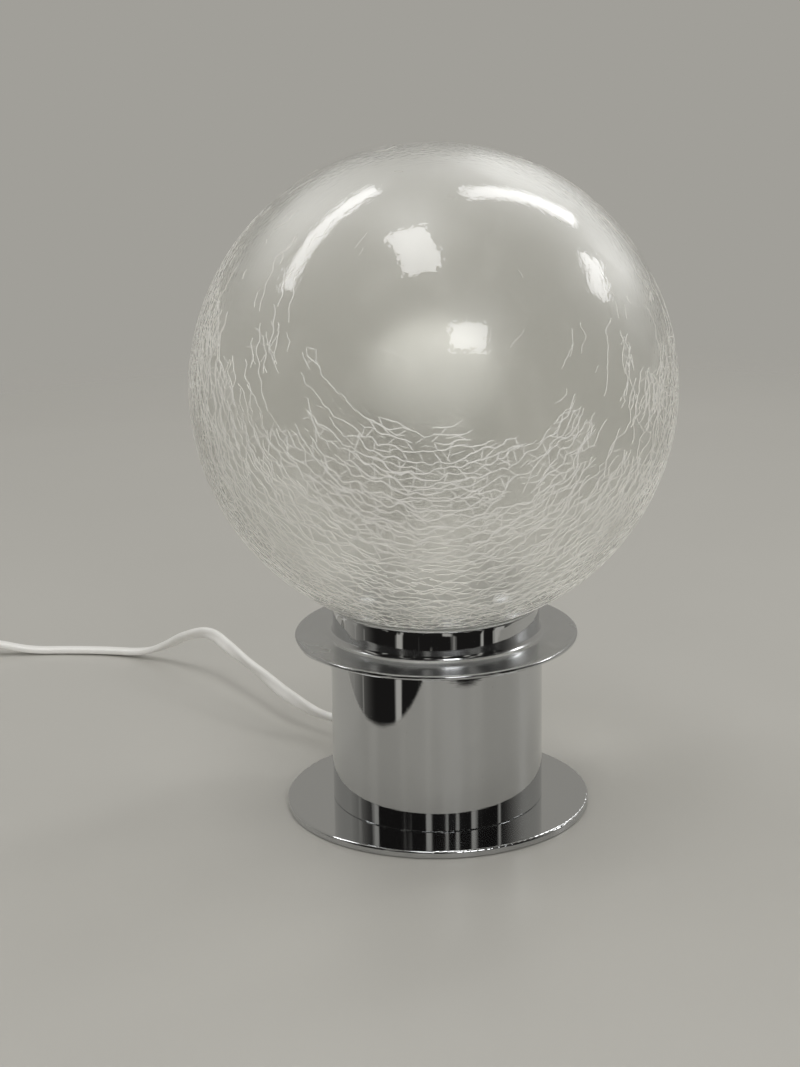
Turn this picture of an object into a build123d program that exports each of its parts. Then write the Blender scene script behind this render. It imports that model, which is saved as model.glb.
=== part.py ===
from build123d import *
import os
from math import asin, cos, pi, radians, sin, sqrt, tan

# A table lamp: a glass globe on a chromed gallery, a body tube and a flat base disc.
# Sizes are in millimetres. The lamp stands on z = 0, Z is its axis and its front faces -Y.

# Base: a spun disc with a turned-down edge, over a felt pad.
base_diameter = 130.0
base_sheet = 1.2
base_rim_height = 2.8  # from the rim's lower edge to the disc's top
base_edge_radius = 1.0
felt_thickness = 2.0
felt_gap = 0.5  # between the felt and the rim

# Cast-iron weight inside the tube.
weight_thickness = 12.0
weight_gap = 0.5  # to the tube's wall
weight_screw_margin = 12.5  # from the weight's edge to a screw's axis
weight_screw_radius = 2.0
weight_screw_depth = 8.0
screw_head_radius = 3.6
screw_head_height = 1.0
head_pocket_gap = 0.4

# Body tube.
body_diameter = 90.0
body_wall = 1.0
body_height = 72.2
body_edge_radius = 0.4

# Gallery: a spun hat with a flat brim, a hemmed edge and a rolled rim.
brim_diameter = 120.0
brim_sheet = 1.4
hem_radius = 1.0
collar_diameter = 87.6
collar_wall = 1.0
collar_height = 13.4  # from the brim's top to the rolled rim's top
collar_bead_radius = 0.9
collar_fillet = 3.0

# Bridge plate: a shallow cup pressed into the collar.
bridge_thickness = 1.5
bridge_rim_height = 6.0
bridge_rim_wall = 1.0

# Tie tube, nut and washer (10 mm thread, drawn plain).
tie_radius = 5.0
tie_bore_radius = 4.0
tie_engagement = 8.0  # in the weight, beside the window
tie_stand_up = 4.5  # above the nut, inside the lampholder
tie_hole_gap = 0.2
tie_washer_radius = 9.0
tie_washer_height = 1.0
tie_nut_flat = 14.0
tie_nut_height = 4.0
thread_gap = 0.05

# Glass globe.
globe_diameter = 201.0
globe_wall = 3.0
globe_seat_gap = 0.3  # between the glass and the rolled rim
globe_neck_diameter = 78.0
globe_neck_depth = 10.2  # below the rolled rim's top
globe_neck_fillet = 2.0

# Spring clips that centre the neck.
clip_count = 3
clip_width = 8.0
clip_sheet = 0.5
clip_gap = 0.3
clip_foot = 7.0
clip_height = 9.0
clip_flare = 1.2
clip_rivet_radius = 1.5
clip_rivet_head_radius = 2.4
clip_rivet_head_height = 0.8
first_clip_angle = 30.0

# Lampholder for a 27 mm screw cap.
holder_diameter = 39.0
holder_wall = 2.0
holder_neck_radius = 8.0
holder_neck_height = 4.0
holder_dome_height = 17.0
holder_sleeve_height = 33.0
holder_spigot_height = 5.0
holder_fit_gap = 0.1
insert_height = 7.5
insert_below_joint = 4.0  # how far the insert hangs under the dome's top
thread_shell_radius = 13.4
thread_shell_wall = 0.4
thread_shell_height = 22.0
contact_leaf_sheet = 0.5
contact_leaf_width = 6.0
contact_leaf_rise = 2.6
terminal_block = (5.0, 5.0, 4.0)
terminal_offset = 9.0
terminal_screw_radius = 1.4
terminal_screw_head_radius = 2.2
grub_screw_radius = 1.5

# Bulb: 60 mm across, 27 mm cap.
bulb_diameter = 60.0
bulb_length = 104.0
bulb_glass_wall = 0.8
bulb_neck_radius = 14.0
bulb_shoulder_height = 37.2  # from the cap's tip to the start of the flare
bulb_seat_gap = 0.3
cap_radius = 13.05
cap_wall = 0.35
cap_skirt_top = 24.5  # above the tip
cap_skirt_bottom = 3.7
cap_glass_gap = 0.1
insulator_height = 3.6
tip_radius = 4.8
tip_height = 1.2
stem_radius = 3.0
stem_height = 32.0
support_wire_radius = 0.5
support_wire_spread = 12.0
support_wire_rise = 24.0

# Cord: a flat twin lead, 5.8 mm wide.
cord_width = 5.8
cord_thickness = 3.4
cord_end_gap = 0.05
cord_exit_angle = 122.0  # from +X, seen from above: behind the lamp, towards its left seen from the front
cord_exit_height = 10.0
cord_least_bends = 5.0  # least bend radius, in cord widths

# Cord sleeve at the tube's wall.
sleeve_radius = 4.4
sleeve_flange_radius = 6.5
sleeve_flange = 1.6
sleeve_tail_length = 20.0
sleeve_tail_radius = 3.7

# Inner cord and its clamp.
cord_slot_width = 9.0
cord_slot_floor = 2.0  # above the base disc's top
inner_bend_radius = 18.0
window_width = 6.6
window_margin = 1.2
clamp_size = (10.0, 30.0, 2.0)
clamp_margin = 13.5  # from the weight's edge to the clamp's middle
clamp_screw_offset = 10.5
clamp_screw_radius = 1.5
clamp_screw_depth = 6.0
clamp_screw_head_radius = 2.8
clamp_screw_head_height = 1.6
core_radius = 1.1
core_bend = 2.4

# In-line switch.
switch_size = (60.0, 25.0, 18.0)
switch_wall = 1.8
switch_joint_height = 7.0
switch_corner = 9.0
switch_edge = 2.5
rocker_radius = 10.7
rocker_width = 12.0
rocker_gap = 0.3
rocker_pivot_height = 14.6
rocker_rise = 4.6
rocker_depth = 3.0
rocker_tilt = 8.0
rocker_pin_radius = 1.2
rocker_pin_gap = 0.05
rocker_boss_radius = 2.6
switch_terminal = (10.0, 4.0, 4.0)
switch_terminal_offset = 5.0
switch_terminal_distance = 15.5
leaf_sheet = 0.4
leaf_gap = 0.4
switch_screw_radius = 1.3
switch_screw_head_radius = 2.3
switch_screw_head_height = 1.6
switch_screw_distance = 25.0
switch_post_radius = 2.8
switch_post_offset = 6.6
switch_cord_grip = 7.0  # how far the cord reaches into the housing

# Put-away coil: 2 layers, each spiralling over the same half turns.
coil_outer_radius = 38.0
coil_half_turns = 6  # in each layer
coil_gap = 0.7  # between turns, and between layers
coil_end_run = 6.0
tie_strap = 0.8
tie_strap_width = 6.0
tie_strap_gap = 0.4
lead_run = 10.0  # each run of the short leads to and from the coil

# Plug: flat, two round pins 4 mm across.
plug_length = 36.0
plug_face = (35.3, 13.7)
plug_waist = (30.0, 13.7)
plug_back = (16.0, 11.0)
plug_corner = 4.5
plug_tail_length = 26.0
plug_tail_radius = 4.6
plug_tail_end_radius = 3.6
plug_tail_ribs = 5
plug_rib_depth = 0.6
pin_radius = 2.0
pin_length = 19.0
pin_spacing = 18.6
pin_rooted = 8.0
pin_sleeve_length = 10.0
pin_sleeve_radius = 1.7
pin_neck_radius = 1.3
pin_root_radius = 1.5  # in the plug's body

# Heights that follow from the sizes above, from the floor up.
base_top = felt_thickness + base_sheet
weight_top = base_top + weight_thickness
weight_radius = body_diameter / 2 - body_wall - weight_gap
clamp_distance = weight_radius - clamp_margin
brim_under = base_top + body_height
brim_top = brim_under + brim_sheet
rim_top = brim_top + collar_height
bead_height = rim_top - collar_bead_radius
bead_circle = collar_diameter / 2 - collar_bead_radius
collar_bore = collar_diameter / 2 - collar_wall
bridge_top = brim_under + bridge_thickness
nut_bottom = bridge_top + tie_washer_height
holder_bottom = nut_bottom + tie_nut_height
tie_bottom = weight_top - tie_engagement
tie_top = holder_bottom + tie_stand_up
globe_radius = globe_diameter / 2
seat_reach = globe_radius + collar_bead_radius + globe_seat_gap
globe_centre = bead_height + sqrt(seat_reach**2 - bead_circle**2)
neck_radius = globe_neck_diameter / 2
neck_bottom = rim_top - globe_neck_depth
holder_joint = holder_bottom + holder_dome_height
insert_top = holder_joint - insert_below_joint + insert_height
bulb_tip = insert_top + contact_leaf_rise + contact_leaf_sheet + bulb_seat_gap
bulb_centre = bulb_tip + bulb_length - bulb_diameter / 2

# The cord's places: it leaves the tube behind the lamp, bows over the surface and lies on it.
exit_way = Vector(cos(radians(cord_exit_angle)), sin(radians(cord_exit_angle)), 0)
sleeve_outer_end = body_diameter / 2 + sleeve_flange + sleeve_tail_length
lying = cord_width / 2
switch_entry = (-245.0, 197.0, switch_joint_height)
free_route = [
    tuple(exit_way * sleeve_outer_end + Vector(0, 0, cord_exit_height)),
    tuple(exit_way * (sleeve_outer_end + 14.0) + Vector(0, 0, cord_exit_height)),
    (-56.0, 77.5, 10.5),
    (-71.5, 93.0, 14.5),
    (-86.0, 116.0, 18.5),
    (-101.0, 139.0, 21.5),
    (-112.0, 156.0, 25.0),
    (-126.0, 169.5, 19.0),
    (-137.5, 181.0, 9.0),
    (-151.0, 190.0, lying),
    (-170.0, 196.0, lying),
    (-192.0, 198.0, lying),
    (-211.0, 197.5, lying),
    (-232.0, 197.0, switch_joint_height),
    (switch_entry[0] - switch_cord_grip, 197.0, switch_joint_height),
]

# The coil lies beyond the switch, and the plug beside it on the other side.
coil_lower = tie_strap + tie_strap_gap + cord_width / 2
coil_upper = coil_lower + cord_width + coil_gap
coil_step = (cord_thickness + coil_gap) / 2  # each half turn is this much smaller
switch_far_end = switch_entry[0] - switch_size[0]
coil_x = switch_far_end - 3 * lead_run - coil_end_run
coil_top_y = switch_entry[1]
coil_bottom_y = coil_top_y - 2 * coil_outer_radius
plug_height = plug_face[1] / 2
plug_tail_start = coil_x + coil_end_run + 3 * lead_run * 1.15


def section(inner, outer, bottom, top):
    """A rectangle in radius and height."""
    return Pos((inner + outer) / 2, (bottom + top) / 2) * Rectangle(outer - inner, top - bottom)


def rounded(outline, corner, radius):
    """The outline with its corner nearest (radius, height) rounded."""
    nearest = outline.vertices().sort_by_distance(Vector(corner[0], corner[1], 0))[0]
    return fillet(nearest, radius)


def turned(outline):
    """The solid that an outline in radius and height sweeps around Z."""
    return revolve(Plane.XZ * outline, Axis.Z)


def ring(inner, outer, bottom, top):
    return turned(section(inner, outer, bottom, top))


def tapered(bottom, top, bottom_radius, top_radius):
    """A cone's outline in radius and height."""
    corners = [(0, bottom), (bottom_radius, bottom), (top_radius, top), (0, top)]
    return make_face(Polyline(*corners, close=True))


def disc(radius, bottom, top):
    return Pos(0, 0, (bottom + top) / 2) * Cylinder(radius, top - bottom)


def at_angle(angle, part):
    return Rot(0, 0, angle) * part


def block(low, high):
    """A box from its lowest to its highest corner."""
    size = [b - a for a, b in zip(low, high)]
    middle = [(a + b) / 2 for a, b in zip(low, high)]
    return Pos(*middle) * Box(*size)


def weight_screw_places():
    place = Pos(weight_radius - weight_screw_margin, 0, 0)
    return [at_angle(cord_exit_angle + 60 + 120 * k, place) for k in range(3)]


# Base


def make_base_disc():
    """The chromed disc: flat sheet, rounded edge and a rim that stops short of the floor."""
    edge = base_diameter / 2
    outline = section(0, edge, base_top - base_sheet, base_top)
    outline += section(edge - base_sheet, edge, base_top - base_rim_height, base_top)
    outline = rounded(outline, (edge, base_top), base_edge_radius)
    solid = turned(outline)
    for place in weight_screw_places():
        solid -= place * disc(weight_screw_radius + head_pocket_gap, felt_thickness, base_top)
    return solid


def make_felt_pad():
    """The pad, with a blind pocket over each screw head."""
    solid = disc(base_diameter / 2 - base_sheet - felt_gap, 0, felt_thickness)
    pocket_bottom = felt_thickness - screw_head_height - head_pocket_gap
    for place in weight_screw_places():
        solid -= place * disc(screw_head_radius + head_pocket_gap, pocket_bottom, felt_thickness)
    return solid


def make_base_weight():
    """The iron puck: a slot for the cord, a centre hole for the tie tube, and tapped holes."""
    solid = disc(weight_radius, base_top, weight_top) - disc(tie_radius, base_top, weight_top)
    side = cord_slot_width / 2
    slot = block((0, -side, base_top + cord_slot_floor), (weight_radius + 1, side, weight_top))
    solid -= at_angle(cord_exit_angle, slot)
    for place in weight_screw_places():
        solid -= place * disc(weight_screw_radius, base_top, base_top + weight_screw_depth)
    for side in (-1, 1):
        hole = disc(clamp_screw_radius, weight_top - clamp_screw_depth, weight_top)
        solid -= at_angle(cord_exit_angle, Pos(clamp_distance, side * clamp_screw_offset, 0) * hole)
    return solid


def make_base_screws():
    """Three low-headed screws, up through the disc into the weight."""
    shank = disc(weight_screw_radius, felt_thickness, base_top + weight_screw_depth)
    screw = shank + disc(screw_head_radius, felt_thickness - screw_head_height, felt_thickness)
    return [place * screw for place in weight_screw_places()]


def make_body_tube():
    """The chromed tube, with a hole for the cord sleeve behind."""
    outline = section(body_diameter / 2 - body_wall, body_diameter / 2, base_top, brim_under)
    outline = rounded(outline, (body_diameter / 2, base_top), body_edge_radius)
    outline = rounded(outline, (body_diameter / 2, brim_under), body_edge_radius)
    hole = Rot(0, 90, 0) * Cylinder(sleeve_radius, 4 * body_wall)
    return turned(outline) - at_angle(cord_exit_angle, Pos(body_diameter / 2, 0, cord_exit_height) * hole)


# Gallery


def make_gallery_collar():
    """The spun hat: hemmed brim, rounded corner, upright collar and a rim rolled inwards."""
    collar = collar_diameter / 2
    hem = brim_diameter / 2 - hem_radius
    outline = section(collar_bore, hem, brim_under, brim_top)
    outline += section(collar_bore, collar, brim_under, bead_height)
    outline += Pos(hem, brim_top - hem_radius) * Circle(hem_radius)
    outline += Pos(bead_circle, bead_height) * Circle(collar_bead_radius)
    outline = rounded(outline, (collar, brim_top), collar_fillet)
    return turned(outline)


def make_bridge_plate():
    """The shallow cup that carries the lampholder, with holes for the tie tube and the rivets."""
    outline = section(tie_radius + tie_hole_gap, collar_bore, brim_under, bridge_top)
    rim_bore = collar_bore - bridge_rim_wall
    outline += section(rim_bore, collar_bore, brim_under, bridge_top + bridge_rim_height)
    outline = rounded(outline, (collar_bore, brim_under), bridge_rim_wall)
    solid = turned(outline)
    hole = Pos(rivet_circle(), 0, 0) * disc(clip_rivet_radius, brim_under, bridge_top)
    for angle in clip_angles():
        solid -= at_angle(angle, hole)
    return solid


def make_tie_tube():
    """The hollow threaded tube, with a window behind through which the cord comes in."""
    solid = ring(tie_bore_radius, tie_radius, tie_bottom, tie_top)
    window_top = cord_exit_height + inner_bend_radius + window_margin
    window = block((0, -window_width / 2, tie_bottom), (tie_radius + 1, window_width / 2, window_top))
    return solid - at_angle(cord_exit_angle, window)


def make_tie_washer():
    """A toothed lock washer."""
    solid = ring(tie_radius + tie_hole_gap, tie_washer_radius, bridge_top, nut_bottom)
    teeth = 12
    middle = bridge_top + tie_washer_height / 2
    notch = Pos(tie_washer_radius, 0, middle) * Box(2.4, 1.4, 2 * tie_washer_height)
    for k in range(teeth):
        solid -= at_angle(360 / teeth * k, notch)
    return solid


def make_tie_nut():
    outline = RegularPolygon(tie_nut_flat / 2, 6, major_radius=False) - Circle(tie_radius + thread_gap)
    return Pos(0, 0, nut_bottom) * extrude(outline, tie_nut_height)


# Globe and its clips


def make_glass_globe():
    """Blown glass with a short neck that hangs in the collar."""
    neck = section(0, neck_radius, neck_bottom, globe_centre)
    bore = neck_radius - globe_wall
    outside = Pos(0, globe_centre) * Circle(globe_radius) + neck
    junction = globe_centre - sqrt(globe_radius**2 - neck_radius**2)
    outside = rounded(outside, (neck_radius, junction), globe_neck_fillet)
    inside = Pos(0, globe_centre) * Circle(globe_radius - globe_wall)
    inside += section(0, bore, neck_bottom - globe_radius, globe_centre)
    other_side = section(-globe_radius - 1, 0, neck_bottom - 1, globe_centre + globe_radius + 1)
    outline = outside - inside - other_side
    for edge in (bore, neck_radius):
        outline = rounded(outline, (edge, neck_bottom), globe_wall / 3)
    return turned(outline)


def clip_angles():
    return [first_clip_angle + 360 / clip_count * k for k in range(clip_count)]


def rivet_circle():
    return neck_radius + clip_gap - clip_foot / 2


def make_globe_clip(angle):
    """A bent spring strip: a foot on the bridge plate and a leg beside the neck, flared at its top."""
    leg = neck_radius + clip_gap
    foot = leg - clip_foot
    top = bridge_top + clip_height
    centre_line = FilletPolyline(
        (foot, 0, bridge_top + clip_sheet / 2),
        (leg + clip_sheet / 2, 0, bridge_top + clip_sheet / 2),
        (leg + clip_sheet / 2, 0, top - clip_flare),
        (leg + clip_sheet / 2 + clip_flare, 0, top),
        radius=[clip_sheet, 2 * clip_sheet],
    )
    across = Plane(centre_line @ 0, x_dir=(0, 1, 0), z_dir=centre_line % 0)
    clip = sweep(across * Rectangle(clip_width, clip_sheet), centre_line)
    clip -= Pos(rivet_circle(), 0, 0) * disc(clip_rivet_radius, bridge_top - 1, bridge_top + 2 * clip_sheet)
    return at_angle(angle, clip)


def make_clip_rivets():
    """One rivet for each clip, headed above the strip and below the bridge plate."""
    top = bridge_top + clip_sheet
    rivet = disc(clip_rivet_radius, brim_under, top)
    rivet += disc(clip_rivet_head_radius, top, top + clip_rivet_head_height)
    rivet += disc(clip_rivet_head_radius, brim_under - clip_rivet_head_height, brim_under)
    return [at_angle(angle, Pos(rivet_circle(), 0, 0) * rivet) for angle in clip_angles()]


# Lampholder


def make_holder_dome():
    """The lower shell: a threaded neck, a rounded dome and a spigot for the sleeve."""
    radius = holder_diameter / 2
    neck_top = holder_bottom + holder_neck_height
    spigot = radius - holder_wall - holder_fit_gap
    shape = section(0, holder_neck_radius, holder_bottom, neck_top + holder_wall)
    shape += section(0, radius, neck_top, holder_joint)
    shape = rounded(shape, (radius, neck_top), holder_dome_height - holder_neck_height - 2)
    shape += section(0, spigot, neck_top + holder_wall, holder_joint + holder_spigot_height)
    hollow_bottom = neck_top + holder_wall
    spigot_top = holder_joint + holder_spigot_height
    hollow = section(0, spigot - holder_wall, hollow_bottom, spigot_top)
    hollow = rounded(hollow, (spigot - holder_wall, hollow_bottom), holder_dome_height / 2)
    seat = section(0, spigot - holder_wall / 2, insert_top - insert_height, spigot_top)
    shape = shape - hollow - seat - section(0, tie_radius + thread_gap, holder_bottom, hollow_bottom)
    solid = turned(shape)
    grub = Rot(0, 90, 0) * Cylinder(grub_screw_radius, 2 * holder_neck_radius)
    return solid - Pos(-holder_neck_radius - tie_radius, 0, holder_bottom + holder_neck_height / 2) * grub


def make_grub_screw():
    """Locks the dome on the tie tube, from the rear side of its neck."""
    length = holder_neck_radius - tie_radius
    middle = Pos(-(tie_radius + thread_gap + length / 2), 0, holder_bottom + holder_neck_height / 2)
    return middle * Rot(0, 90, 0) * Cylinder(grub_screw_radius, length - 2 * thread_gap)


def make_holder_sleeve():
    """The outer sleeve, screwed over the dome's spigot."""
    radius = holder_diameter / 2
    top = holder_joint + holder_sleeve_height
    outline = section(radius - holder_wall, radius, holder_joint, top)
    return turned(rounded(outline, (radius, top), holder_wall * 0.45))


def make_holder_insert():
    """The ceramic block, with clearance for the centre contact's rivet and the terminals under it."""
    radius = holder_diameter / 2 - holder_wall * 1.5 - 2 * holder_fit_gap
    bottom = insert_top - insert_height
    solid = disc(radius, bottom, insert_top)
    solid = solid - disc(core_radius * 2, bottom, insert_top - insert_height / 2)
    return chamfer(solid.faces().sort_by(Axis.Z)[-1].edges(), 0.6)


def make_thread_shell():
    """The brass shell that takes the bulb's cap, drawn without its thread."""
    top = insert_top + thread_shell_height
    return ring(thread_shell_radius, thread_shell_radius + thread_shell_wall, insert_top, top)


def make_centre_contact():
    """A bent brass leaf that presses on the bulb's tip."""
    rise = contact_leaf_rise
    line = FilletPolyline(
        (-9.0, 0, insert_top + contact_leaf_sheet / 2),
        (-4.0, 0, insert_top + contact_leaf_sheet / 2),
        (0.0, 0, insert_top + rise + contact_leaf_sheet / 2),
        (5.0, 0, insert_top + rise + contact_leaf_sheet / 2),
        radius=[1.0, 1.0],
    )
    across = Plane(line @ 0, x_dir=(0, 1, 0), z_dir=line % 0)
    return sweep(across * Rectangle(contact_leaf_width, contact_leaf_sheet), line)


def terminal_sides():
    return [at_angle(cord_exit_angle + turn, Pos(terminal_offset, 0, 0)) for turn in (90, 270)]


def make_terminal_blocks():
    """Two brass blocks under the insert, one for each core."""
    length, width, height = terminal_block
    top = insert_top - insert_height
    body = block((-length / 2, -width / 2, top - height), (length / 2, width / 2, top))
    body -= disc(terminal_screw_radius, top - height, top - height / 2)
    return [side * body for side in terminal_sides()]


def make_terminal_screws():
    top = insert_top - insert_height - terminal_block[2]
    screw = disc(terminal_screw_radius, top, top + terminal_block[2] / 2)
    screw += disc(terminal_screw_head_radius, top - 1.2, top)
    return [side * screw for side in terminal_sides()]


# Bulb


def bulb_outline(inset):
    """The bulb's glass in radius and height, drawn in by the given wall."""
    radius = bulb_diameter / 2 - inset
    neck = bulb_neck_radius - inset
    flare_height = bulb_tip + bulb_shoulder_height
    drop = bulb_centre - flare_height
    flare = ((radius**2) - neck**2 - drop**2) / (2 * (neck - radius))
    centre = Vector(neck + flare, flare_height)
    reach = Vector(centre.X, centre.Y - bulb_centre).normalized() * radius
    meet = Vector(reach.X, bulb_centre + reach.Y)
    toward = (Vector(neck, flare_height) + meet) * 0.5 - centre
    flare_middle = centre + toward.normalized() * flare
    high = bulb_centre + radius
    shoulder = bulb_tip + cap_skirt_top + inset
    side = asin(0.5)
    edges = [
        ThreePointArc((0, high), (radius * cos(side), bulb_centre + radius * sin(side)), (meet.X, meet.Y)),
        ThreePointArc((meet.X, meet.Y), (flare_middle.X, flare_middle.Y), (neck, flare_height)),
        Polyline((neck, flare_height), (neck, shoulder), (0, shoulder), (0, high)),
    ]
    return make_face(edges)


def make_bulb_glass():
    """The frosted envelope; its neck steps in to fit the cap."""
    seat = cap_radius - cap_wall - cap_glass_gap
    foot = bulb_tip + cap_skirt_bottom + 8.0
    outside = bulb_outline(0) + section(0, seat, foot, bulb_tip + cap_skirt_top)
    inside = bulb_outline(bulb_glass_wall)
    inside += section(0, seat - bulb_glass_wall, foot, bulb_tip + cap_skirt_top + bulb_glass_wall)
    return turned(outside - inside)


def make_bulb_cap():
    top = bulb_tip + cap_skirt_top
    return ring(cap_radius - cap_wall, cap_radius, bulb_tip + cap_skirt_bottom, top)


def make_bulb_insulator():
    """The dark glass cone between the cap and the tip."""
    bottom = bulb_tip + tip_height
    top = bottom + insulator_height
    outer = cap_radius - cap_wall - thread_gap
    corners = [(0, bottom), (tip_radius, bottom), (outer, top - 1.0), (outer, top), (0, top)]
    return turned(make_face(Polyline(*corners, close=True)))


def make_bulb_tip():
    outline = rounded(section(0, tip_radius, bulb_tip, bulb_tip + tip_height), (tip_radius, bulb_tip), 0.8)
    return turned(outline)


def make_bulb_stem():
    """The glass mount: a flared foot fused in the neck, and a pillar."""
    foot = bulb_tip + cap_skirt_bottom + 8.0
    seat = cap_radius - cap_wall - cap_glass_gap - bulb_glass_wall
    outline = section(0, seat, foot, foot + 1.0) + section(0, stem_radius, foot, foot + stem_height)
    return turned(rounded(outline, (stem_radius, foot + 1.0), 2.0))


def make_filament():
    """Two support wires and the filament hung between them, in one wire."""
    start = bulb_tip + cap_skirt_bottom + 8.0 + stem_height
    top = start + support_wire_rise
    half = support_wire_spread
    line = FilletPolyline(
        (-stem_radius / 2, 0, start),
        (-stem_radius / 2, 0, start + 6),
        (-half, 0, top),
        (0, 0, top + 3),
        (half, 0, top),
        (stem_radius / 2, 0, start + 6),
        (stem_radius / 2, 0, start),
        radius=[1.5] * 5,
    )
    return sweep(Plane(line @ 0, z_dir=line % 0) * Circle(support_wire_radius), line)


# Cord


def bend_radii(route, least=cord_least_bends * cord_width):
    """The arc that each corner's runs allow: 0.45 of the shorter run over the half turn's tangent."""
    points = [Vector(*p) for p in route]
    radii = []
    for before, here, after in zip(points, points[1:], points[2:]):
        turn = (here - before).get_angle(after - here)
        shorter = min((here - before).length, (after - here).length)
        radii.append(0.45 * shorter / tan(radians(turn / 2)))
    print("bend radii", [round(r, 1) for r in radii], "least", round(min(radii), 1), "wanted", least)
    return radii


def cord_tube(name, route, radii=None, radius=cord_width / 2):
    """A round tube along straight runs joined by tangent arcs, with its volume checked."""
    line = FilletPolyline(*route, radius=radii or bend_radii(route))
    solid = sweep(Plane(line @ 0, z_dir=line % 0) * Circle(radius), line)
    expected = pi * radius**2 * line.length
    print(f"{name}: {line.length:.1f} mm long, volume {solid.volume / expected:.4f} of the expected")
    return solid


def make_cord_sleeve():
    """The moulded sleeve: a plug in the tube's hole, a flange outside and a tapered tail."""
    wall = body_diameter / 2
    inner_end = wall - body_wall - 1.2
    flange_end = wall + sleeve_flange
    outline = section(0, sleeve_radius, inner_end, flange_end)
    outline += section(0, sleeve_flange_radius, wall + 0.3, flange_end)
    outline = rounded(outline, (sleeve_flange_radius, flange_end), 0.8)
    outline += tapered(flange_end, sleeve_outer_end, sleeve_radius, sleeve_tail_radius)
    outline -= section(0, cord_width / 2 + cord_end_gap, inner_end, sleeve_outer_end)
    along = Pos(0, 0, cord_exit_height) * Rot(0, 90, 0)
    return at_angle(cord_exit_angle, along * turned(outline))


def make_inner_cord():
    """The cord inside the lamp: in through the sleeve, along the weight's slot and up the tie tube."""
    top = tie_top + 1.0
    line = FilletPolyline(
        (sleeve_outer_end, 0, cord_exit_height),
        (0, 0, cord_exit_height),
        (0, 0, top),
        radius=[inner_bend_radius],
    )
    solid = sweep(Plane(line @ 0, z_dir=line % 0) * Circle(cord_width / 2), line)
    return at_angle(cord_exit_angle, solid)


def make_inner_cores():
    """The two cores, from the cord's end to the terminal blocks."""
    start = tie_top + 1.0
    height = insert_top - insert_height - terminal_block[2] / 2
    cores = []
    for turn in (90, 270):
        line = FilletPolyline(
            (1.6, 0, start),
            (1.6, 0, height),
            (terminal_offset - terminal_block[0] / 2, 0, height),
            radius=[core_bend / 2],
        )
        core = sweep(Plane(line @ 0, z_dir=line % 0) * Circle(core_radius), line)
        cores.append(at_angle(cord_exit_angle + turn, core))
    return cores


def make_cord_clamp():
    """A bar across the weight's slot, with a tongue that holds the cord down."""
    width, length, height = clamp_size
    bar = block((-width / 2, -length / 2, weight_top), (width / 2, length / 2, weight_top + height))
    tongue_bottom = cord_exit_height + cord_width / 2
    side = cord_slot_width / 2 - 0.5
    tongue = block((-width / 2, -side, tongue_bottom), (width / 2, side, weight_top))
    clamp = fillet(bar.edges().filter_by(Axis.Z), 2.0) + tongue
    for side in (-1, 1):
        hole = disc(clamp_screw_radius + 0.2, weight_top, weight_top + height)
        clamp -= Pos(0, side * clamp_screw_offset, 0) * hole
    return at_angle(cord_exit_angle, Pos(clamp_distance, 0, 0) * clamp)


def make_clamp_screws():
    top = weight_top + clamp_size[2]
    screw = disc(clamp_screw_radius, weight_top - clamp_screw_depth, top)
    screw += disc(clamp_screw_head_radius, top, top + clamp_screw_head_height)
    screw -= Pos(0, 0, top + clamp_screw_head_height) * Box(2 * clamp_screw_head_radius, 0.8, 1.2)
    places = [Pos(clamp_distance, side * clamp_screw_offset, 0) for side in (-1, 1)]
    return [at_angle(cord_exit_angle, place * screw) for place in places]


# Put-away coil


def coil_line():
    """Half circles that spiral in, a half turn that climbs a layer, and half circles that spiral out."""
    y = coil_top_y
    side = 1
    edges = [Line((coil_x + coil_end_run, y, coil_lower), (coil_x, y, coil_lower))]
    for k in range(coil_half_turns):
        radius = coil_outer_radius - k * coil_step
        edges.append(half_turn(y, side, radius, coil_lower))
        y -= side * 2 * radius
        side = -side
    inner = coil_outer_radius - coil_half_turns * coil_step
    edges += climbing_half_turn(y, side, inner)
    y -= side * 2 * inner
    side = -side
    for k in reversed(range(coil_half_turns)):
        radius = coil_outer_radius - k * coil_step
        edges.append(half_turn(y, side, radius, coil_upper))
        y -= side * 2 * radius
        side = -side
    edges.append(Line((coil_x, y, coil_upper), (coil_x + coil_end_run, y, coil_upper)))
    return Wire(edges)


def half_turn(y, side, radius, height):
    """From (coil_x, y), round the left-hand side when side is 1 and the right-hand side when it is -1."""
    middle = (coil_x - side * radius, y - side * radius, height)
    return ThreePointArc((coil_x, y, height), middle, (coil_x, y - side * 2 * radius, height))


def climbing_half_turn(y, side, radius):
    """Two tangent arcs in tilted planes, from the lower layer to the upper one."""
    climb = coil_upper - coil_lower
    reach = sqrt(radius**2 + climb**2 / 4)
    start = Vector(coil_x, y, coil_lower)
    middle = Vector(coil_x - side * reach, y - side * radius, coil_lower + climb / 2)
    end = Vector(coil_x, y - side * 2 * radius, coil_upper)
    way = Vector(-side, 0, 0)
    first = TangentArc(start, middle, tangent=way)
    return [first, TangentArc(middle, end, tangent=first % 1)]


def least_coil_gap(line):
    """The least distance between turns, measured on points, less the cord's own section."""
    steps = 700
    points = [line @ (k / steps) for k in range(steps + 1)]
    apart = int(steps * coil_outer_radius / line.length)
    least = 1e9
    for i, a in enumerate(points):
        for b in points[i + apart :]:
            level = Vector(a.X - b.X, a.Y - b.Y).length - cord_thickness
            upright = abs(a.Z - b.Z) - cord_width
            least = min(least, max(level, upright))
    return least


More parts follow.
